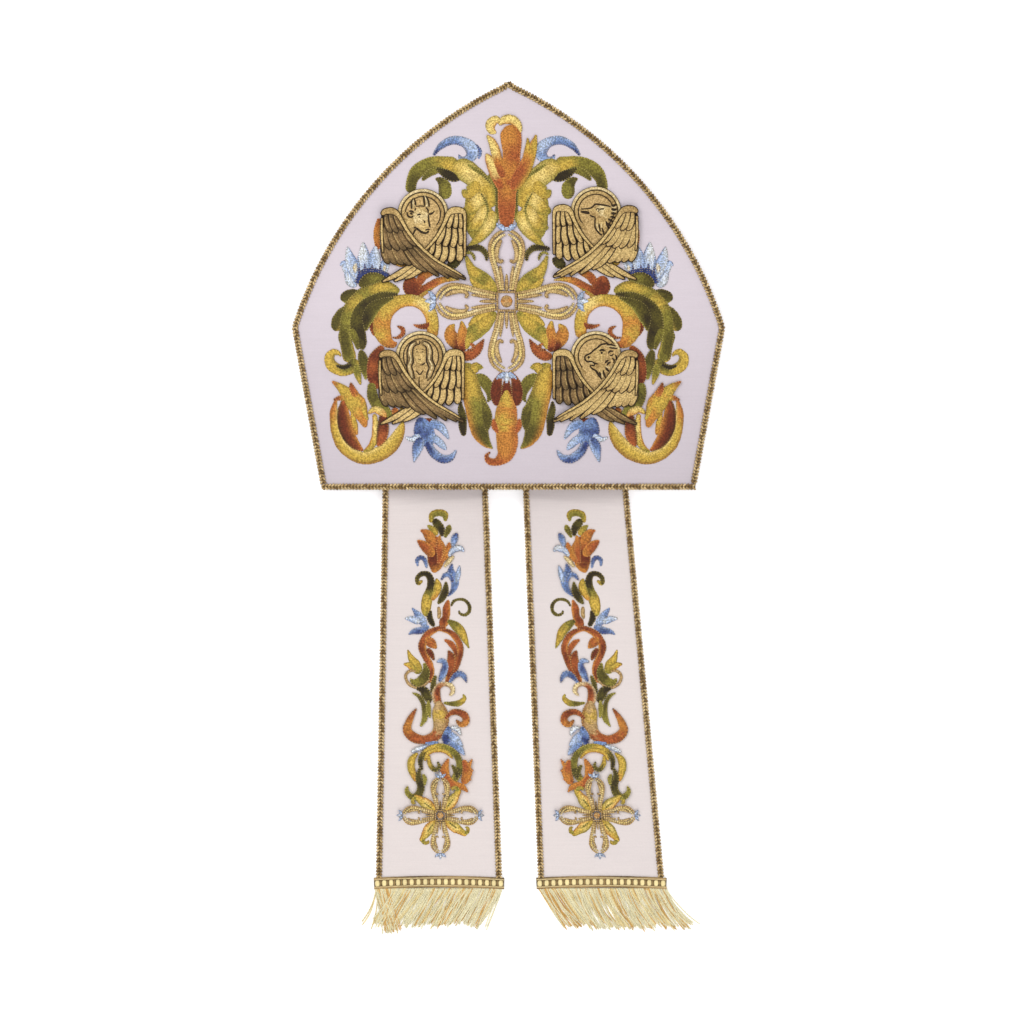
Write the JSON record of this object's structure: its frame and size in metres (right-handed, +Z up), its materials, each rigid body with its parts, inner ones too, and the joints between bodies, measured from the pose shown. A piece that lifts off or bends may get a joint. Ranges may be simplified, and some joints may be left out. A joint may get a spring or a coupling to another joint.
{
  "type": "bishop mitre with two fringed lappets",
  "caption": "Stiff pointed bishop's mitre with a folding gusset, gold braid edges, winged badges and two fringed lappets, laid flat on its back.",
  "frame": {"origin": "middle of the rim's back edge, on the surface that the mitre lies on", "axes": "+Y from the rim to the point of the crown, +Z up out of the surface through the front panel, +X to the right of someone who looks at the front"},
  "size_m": [0.347, 0.681, 0.0343],
  "materials": {
    "crown_cloth": "fine ribbed silk cloth, matt, pale lavender white",
    "lappet_cloth": "plain woven silk cloth, matt, warm white",
    "gold_braid": "plaited metallic gold thread, soft metallic sheen",
    "gold_badge": "padded metallic gold embroidery, soft metallic sheen",
    "fringe_cord": "twisted metallic gold thread, light gold sheen"
  },
  "bodies": {
    "root": {"front_panel": "crown_cloth", "back_panel": "crown_cloth", "gusset": "crown_cloth", "front_edge_braid": "gold_braid", "front_hem_braid": "gold_braid", "back_edge_braid": "gold_braid", "back_hem_braid": "gold_braid", "badge_ox": "gold_badge", "badge_eagle": "gold_badge", "badge_man": "gold_badge", "badge_lion": "gold_badge", "lappet_left": "lappet_cloth", "lappet_right": "lappet_cloth", "lappet_left_outer_braid": "gold_braid", "lappet_left_inner_braid": "gold_braid", "lappet_right_outer_braid": "gold_braid", "lappet_right_inner_braid": "gold_braid", "fringe_left": "fringe_cord", "fringe_right": "fringe_cord"}
  },
  "joints": []
}
